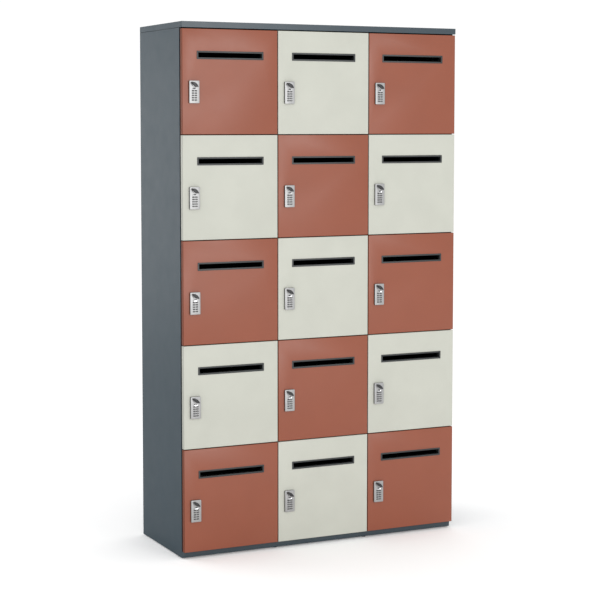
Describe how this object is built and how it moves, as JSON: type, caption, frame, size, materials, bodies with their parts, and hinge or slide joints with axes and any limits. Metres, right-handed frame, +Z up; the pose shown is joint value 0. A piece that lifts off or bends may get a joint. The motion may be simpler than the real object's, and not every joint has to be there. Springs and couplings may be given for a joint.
{
  "type": "mail locker cabinet",
  "caption": "Free-standing board locker cabinet with chequered hinged doors, each with a letter slot, a keypad lock with a turn knob, and concealed hinges.",
  "frame": {"origin": "on the floor, at the middle of the cabinet's footprint including its knobs", "axes": "+X to the right along the front, +Y from front to back, +Z up; the doors face -Y"},
  "size_m": [1.15, 0.451, 1.98],
  "materials": {
    "slate_board": "satin slate laminate on board",
    "terracotta_door": "satin terracotta laminate on board",
    "white_door": "satin off-white laminate on board",
    "knob_metal": "black satin",
    "key_rubber": "matt",
    "black_plastic": "moulded",
    "beech": "raw",
    "plated_steel": "nickel plated",
    "clear_rubber": "soft"
  },
  "bodies": {
    "carcass": {"side_panel_left": "slate_board", "side_panel_right": "slate_board", "partition_1": "slate_board", "partition_2": "slate_board", "top_panel": "slate_board", "base_panel": "slate_board", "plinth_rails": "slate_board", "back_panel": "slate_board", "shelves": "slate_board", "glides": "black_plastic", "dowels": "beech", "hinge_plates": "plated_steel", "hinge_arms": "plated_steel", "lock_strikes": "plated_steel", "door_bumpers": "clear_rubber"},
    "door_r1c1": {"door_r1c1": "terracotta_door"},
    "knob_r1c1": {"knob_r1c1": "knob_metal"},
    "keypad_r1c1": {"keypad_r1c1": "key_rubber"},
    "door_r1c2": {"door_r1c2": "white_door"},
    "knob_r1c2": {"knob_r1c2": "knob_metal"},
    "keypad_r1c2": {"keypad_r1c2": "key_rubber"},
    "door_r1c3": {"door_r1c3": "terracotta_door"},
    "knob_r1c3": {"knob_r1c3": "knob_metal"},
    "keypad_r1c3": {"keypad_r1c3": "key_rubber"},
    "door_r2c1": {"door_r2c1": "white_door"},
    "knob_r2c1": {"knob_r2c1": "knob_metal"},
    "keypad_r2c1": {"keypad_r2c1": "key_rubber"},
    "door_r2c2": {"door_r2c2": "terracotta_door"},
    "knob_r2c2": {"knob_r2c2": "knob_metal"},
    "keypad_r2c2": {"keypad_r2c2": "key_rubber"},
    "door_r2c3": {"door_r2c3": "white_door"},
    "knob_r2c3": {"knob_r2c3": "knob_metal"},
    "keypad_r2c3": {"keypad_r2c3": "key_rubber"},
    "door_r3c1": {"door_r3c1": "terracotta_door"},
    "knob_r3c1": {"knob_r3c1": "knob_metal"},
    "keypad_r3c1": {"keypad_r3c1": "key_rubber"},
    "door_r3c2": {"door_r3c2": "white_door"},
    "knob_r3c2": {"knob_r3c2": "knob_metal"},
    "keypad_r3c2": {"keypad_r3c2": "key_rubber"},
    "door_r3c3": {"door_r3c3": "terracotta_door"},
    "knob_r3c3": {"knob_r3c3": "knob_metal"},
    "keypad_r3c3": {"keypad_r3c3": "key_rubber"},
    "door_r4c1": {"door_r4c1": "white_door"},
    "knob_r4c1": {"knob_r4c1": "knob_metal"},
    "keypad_r4c1": {"keypad_r4c1": "key_rubber"},
    "door_r4c2": {"door_r4c2": "terracotta_door"},
    "knob_r4c2": {"knob_r4c2": "knob_metal"},
    "keypad_r4c2": {"keypad_r4c2": "key_rubber"},
    "door_r4c3": {"door_r4c3": "white_door"},
    "knob_r4c3": {"knob_r4c3": "knob_metal"},
    "keypad_r4c3": {"keypad_r4c3": "key_rubber"},
    "door_r5c1": {"door_r5c1": "terracotta_door"},
    "knob_r5c1": {"knob_r5c1": "knob_metal"},
    "keypad_r5c1": {"keypad_r5c1": "key_rubber"},
    "door_r5c2": {"door_r5c2": "white_door"},
    "knob_r5c2": {"knob_r5c2": "knob_metal"},
    "keypad_r5c2": {"keypad_r5c2": "key_rubber"},
    "door_r5c3": {"door_r5c3": "terracotta_door"},
    "knob_r5c3": {"knob_r5c3": "knob_metal"},
    "keypad_r5c3": {"keypad_r5c3": "key_rubber"}
  },
  "joints": [
    {"name": "door_swing_r1c1", "type": "hinge", "parent": "carcass", "child": "door_r1c1", "pos_m": [-0.193, -0.2065, 1.7625], "axis": [0, 0, 1], "range_deg": [0, 110], "stiffness_Nm_per_rad": 0.3, "springref_deg": -17.19},
    {"name": "knob_turn_r1c1", "type": "hinge", "parent": "door_r1c1", "child": "knob_r1c1", "pos_m": [-0.5285, -0.2065, 1.752], "axis": [0, -1, 0], "range_deg": [0, 90]},
    {"name": "keypad_press_r1c1", "type": "slide", "parent": "door_r1c1", "child": "keypad_r1c1", "axis": [0, 1, 0], "range_m": [0, 0.0008], "stiffness_N_per_m": 1500, "springref_m": -0.0003},
    {"name": "door_swing_r1c2", "type": "hinge", "parent": "carcass", "child": "door_r1c2", "pos_m": [0.19, -0.2065, 1.7625], "axis": [0, 0, 1], "range_deg": [0, 110], "stiffness_Nm_per_rad": 0.3, "springref_deg": -17.19},
    {"name": "knob_turn_r1c2", "type": "hinge", "parent": "door_r1c2", "child": "knob_r1c2", "pos_m": [-0.1455, -0.2065, 1.752], "axis": [0, -1, 0], "range_deg": [0, 90]},
    {"name": "keypad_press_r1c2", "type": "slide", "parent": "door_r1c2", "child": "keypad_r1c2", "axis": [0, 1, 0], "range_m": [0, 0.0008], "stiffness_N_per_m": 1500, "springref_m": -0.0003},
    {"name": "door_swing_r1c3", "type": "hinge", "parent": "carcass", "child": "door_r1c3", "pos_m": [0.573, -0.2065, 1.7625], "axis": [0, 0, 1], "range_deg": [0, 110], "stiffness_Nm_per_rad": 0.3, "springref_deg": -17.19},
    {"name": "knob_turn_r1c3", "type": "hinge", "parent": "door_r1c3", "child": "knob_r1c3", "pos_m": [0.2375, -0.2065, 1.752], "axis": [0, -1, 0], "range_deg": [0, 90]},
    {"name": "keypad_press_r1c3", "type": "slide", "parent": "door_r1c3", "child": "keypad_r1c3", "axis": [0, 1, 0], "range_m": [0, 0.0008], "stiffness_N_per_m": 1500, "springref_m": -0.0003},
    {"name": "door_swing_r2c1", "type": "hinge", "parent": "carcass", "child": "door_r2c1", "pos_m": [-0.193, -0.2065, 1.3765], "axis": [0, 0, 1], "range_deg": [0, 110], "stiffness_Nm_per_rad": 0.3, "springref_deg": -17.19},
    {"name": "knob_turn_r2c1", "type": "hinge", "parent": "door_r2c1", "child": "knob_r2c1", "pos_m": [-0.5285, -0.2065, 1.366], "axis": [0, -1, 0], "range_deg": [0, 90]},
    {"name": "keypad_press_r2c1", "type": "slide", "parent": "door_r2c1", "child": "keypad_r2c1", "axis": [0, 1, 0], "range_m": [0, 0.0008], "stiffness_N_per_m": 1500, "springref_m": -0.0003},
    {"name": "door_swing_r2c2", "type": "hinge", "parent": "carcass", "child": "door_r2c2", "pos_m": [0.19, -0.2065, 1.3765], "axis": [0, 0, 1], "range_deg": [0, 110], "stiffness_Nm_per_rad": 0.3, "springref_deg": -17.19},
    {"name": "knob_turn_r2c2", "type": "hinge", "parent": "door_r2c2", "child": "knob_r2c2", "pos_m": [-0.1455, -0.2065, 1.366], "axis": [0, -1, 0], "range_deg": [0, 90]},
    {"name": "keypad_press_r2c2", "type": "slide", "parent": "door_r2c2", "child": "keypad_r2c2", "axis": [0, 1, 0], "range_m": [0, 0.0008], "stiffness_N_per_m": 1500, "springref_m": -0.0003},
    {"name": "door_swing_r2c3", "type": "hinge", "parent": "carcass", "child": "door_r2c3", "pos_m": [0.573, -0.2065, 1.3765], "axis": [0, 0, 1], "range_deg": [0, 110], "stiffness_Nm_per_rad": 0.3, "springref_deg": -17.19},
    {"name": "knob_turn_r2c3", "type": "hinge", "parent": "door_r2c3", "child": "knob_r2c3", "pos_m": [0.2375, -0.2065, 1.366], "axis": [0, -1, 0], "range_deg": [0, 90]},
    {"name": "keypad_press_r2c3", "type": "slide", "parent": "door_r2c3", "child": "keypad_r2c3", "axis": [0, 1, 0], "range_m": [0, 0.0008], "stiffness_N_per_m": 1500, "springref_m": -0.0003},
    {"name": "door_swing_r3c1", "type": "hinge", "parent": "carcass", "child": "door_r3c1", "pos_m": [-0.193, -0.2065, 0.9905], "axis": [0, 0, 1], "range_deg": [0, 110], "stiffness_Nm_per_rad": 0.3, "springref_deg": -17.19},
    {"name": "knob_turn_r3c1", "type": "hinge", "parent": "door_r3c1", "child": "knob_r3c1", "pos_m": [-0.5285, -0.2065, 0.98], "axis": [0, -1, 0], "range_deg": [0, 90]},
    {"name": "keypad_press_r3c1", "type": "slide", "parent": "door_r3c1", "child": "keypad_r3c1", "axis": [0, 1, 0], "range_m": [0, 0.0008], "stiffness_N_per_m": 1500, "springref_m": -0.0003},
    {"name": "door_swing_r3c2", "type": "hinge", "parent": "carcass", "child": "door_r3c2", "pos_m": [0.19, -0.2065, 0.9905], "axis": [0, 0, 1], "range_deg": [0, 110], "stiffness_Nm_per_rad": 0.3, "springref_deg": -17.19},
    {"name": "knob_turn_r3c2", "type": "hinge", "parent": "door_r3c2", "child": "knob_r3c2", "pos_m": [-0.1455, -0.2065, 0.98], "axis": [0, -1, 0], "range_deg": [0, 90]},
    {"name": "keypad_press_r3c2", "type": "slide", "parent": "door_r3c2", "child": "keypad_r3c2", "axis": [0, 1, 0], "range_m": [0, 0.0008], "stiffness_N_per_m": 1500, "springref_m": -0.0003},
    {"name": "door_swing_r3c3", "type": "hinge", "parent": "carcass", "child": "door_r3c3", "pos_m": [0.573, -0.2065, 0.9905], "axis": [0, 0, 1], "range_deg": [0, 110], "stiffness_Nm_per_rad": 0.3, "springref_deg": -17.19},
    {"name": "knob_turn_r3c3", "type": "hinge", "parent": "door_r3c3", "child": "knob_r3c3", "pos_m": [0.2375, -0.2065, 0.98], "axis": [0, -1, 0], "range_deg": [0, 90]},
    {"name": "keypad_press_r3c3", "type": "slide", "parent": "door_r3c3", "child": "keypad_r3c3", "axis": [0, 1, 0], "range_m": [0, 0.0008], "stiffness_N_per_m": 1500, "springref_m": -0.0003},
    {"name": "door_swing_r4c1", "type": "hinge", "parent": "carcass", "child": "door_r4c1", "pos_m": [-0.193, -0.2065, 0.6045], "axis": [0, 0, 1], "range_deg": [0, 110], "stiffness_Nm_per_rad": 0.3, "springref_deg": -17.19},
    {"name": "knob_turn_r4c1", "type": "hinge", "parent": "door_r4c1", "child": "knob_r4c1", "pos_m": [-0.5285, -0.2065, 0.594], "axis": [0, -1, 0], "range_deg": [0, 90]},
    {"name": "keypad_press_r4c1", "type": "slide", "parent": "door_r4c1", "child": "keypad_r4c1", "axis": [0, 1, 0], "range_m": [0, 0.0008], "stiffness_N_per_m": 1500, "springref_m": -0.0003},
    {"name": "door_swing_r4c2", "type": "hinge", "parent": "carcass", "child": "door_r4c2", "pos_m": [0.19, -0.2065, 0.6045], "axis": [0, 0, 1], "range_deg": [0, 110], "stiffness_Nm_per_rad": 0.3, "springref_deg": -17.19},
    {"name": "knob_turn_r4c2", "type": "hinge", "parent": "door_r4c2", "child": "knob_r4c2", "pos_m": [-0.1455, -0.2065, 0.594], "axis": [0, -1, 0], "range_deg": [0, 90]},
    {"name": "keypad_press_r4c2", "type": "slide", "parent": "door_r4c2", "child": "keypad_r4c2", "axis": [0, 1, 0], "range_m": [0, 0.0008], "stiffness_N_per_m": 1500, "springref_m": -0.0003},
    {"name": "door_swing_r4c3", "type": "hinge", "parent": "carcass", "child": "door_r4c3", "pos_m": [0.573, -0.2065, 0.6045], "axis": [0, 0, 1], "range_deg": [0, 110], "stiffness_Nm_per_rad": 0.3, "springref_deg": -17.19},
    {"name": "knob_turn_r4c3", "type": "hinge", "parent": "door_r4c3", "child": "knob_r4c3", "pos_m": [0.2375, -0.2065, 0.594], "axis": [0, -1, 0], "range_deg": [0, 90]},
    {"name": "keypad_press_r4c3", "type": "slide", "parent": "door_r4c3", "child": "keypad_r4c3", "axis": [0, 1, 0], "range_m": [0, 0.0008], "stiffness_N_per_m": 1500, "springref_m": -0.0003},
    {"name": "door_swing_r5c1", "type": "hinge", "parent": "carcass", "child": "door_r5c1", "pos_m": [-0.193, -0.2065, 0.2185], "axis": [0, 0, 1], "range_deg": [0, 110], "stiffness_Nm_per_rad": 0.3, "springref_deg": -17.19},
    {"name": "knob_turn_r5c1", "type": "hinge", "parent": "door_r5c1", "child": "knob_r5c1", "pos_m": [-0.5285, -0.2065, 0.208], "axis": [0, -1, 0], "range_deg": [0, 90]},
    {"name": "keypad_press_r5c1", "type": "slide", "parent": "door_r5c1", "child": "keypad_r5c1", "axis": [0, 1, 0], "range_m": [0, 0.0008], "stiffness_N_per_m": 1500, "springref_m": -0.0003},
    {"name": "door_swing_r5c2", "type": "hinge", "parent": "carcass", "child": "door_r5c2", "pos_m": [0.19, -0.2065, 0.2185], "axis": [0, 0, 1], "range_deg": [0, 110], "stiffness_Nm_per_rad": 0.3, "springref_deg": -17.19},
    {"name": "knob_turn_r5c2", "type": "hinge", "parent": "door_r5c2", "child": "knob_r5c2", "pos_m": [-0.1455, -0.2065, 0.208], "axis": [0, -1, 0], "range_deg": [0, 90]},
    {"name": "keypad_press_r5c2", "type": "slide", "parent": "door_r5c2", "child": "keypad_r5c2", "axis": [0, 1, 0], "range_m": [0, 0.0008], "stiffness_N_per_m": 1500, "springref_m": -0.0003},
    {"name": "door_swing_r5c3", "type": "hinge", "parent": "carcass", "child": "door_r5c3", "pos_m": [0.573, -0.2065, 0.2185], "axis": [0, 0, 1], "range_deg": [0, 110], "stiffness_Nm_per_rad": 0.3, "springref_deg": -17.19},
    {"name": "knob_turn_r5c3", "type": "hinge", "parent": "door_r5c3", "child": "knob_r5c3", "pos_m": [0.2375, -0.2065, 0.208], "axis": [0, -1, 0], "range_deg": [0, 90]},
    {"name": "keypad_press_r5c3", "type": "slide", "parent": "door_r5c3", "child": "keypad_r5c3", "axis": [0, 1, 0], "range_m": [0, 0.0008], "stiffness_N_per_m": 1500, "springref_m": -0.0003}
  ]
}
